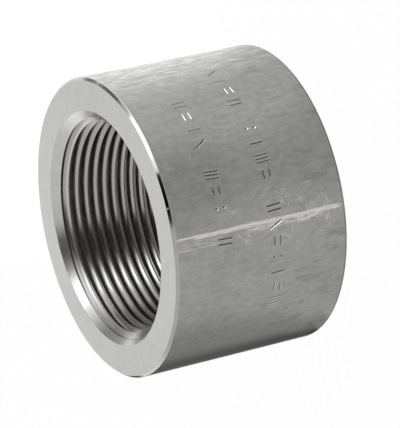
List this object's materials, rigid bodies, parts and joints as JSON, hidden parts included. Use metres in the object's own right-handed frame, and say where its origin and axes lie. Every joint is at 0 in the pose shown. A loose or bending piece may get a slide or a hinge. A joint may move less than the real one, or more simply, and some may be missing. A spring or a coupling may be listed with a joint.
{
  "type": "half coupling",
  "caption": "Short thick-walled round ring with a tapered pipe thread cut in from one countersunk end and a plain flat end for welding.",
  "frame": {"origin": "centre of the plain weld end, on the bore's axis", "axes": "+Z along the bore, out of the threaded mouth; +X is the angle near which the thread's groove reaches the mouth"},
  "size_m": [0.0635, 0.0634, 0.0395],
  "materials": {
    "stainless_steel": "dull pickled grey outside, finely turned satin on the mouth face, brighter in the tapped thread"
  },
  "bodies": {
    "root": {"half_coupling": "stainless_steel"}
  },
  "joints": []
}
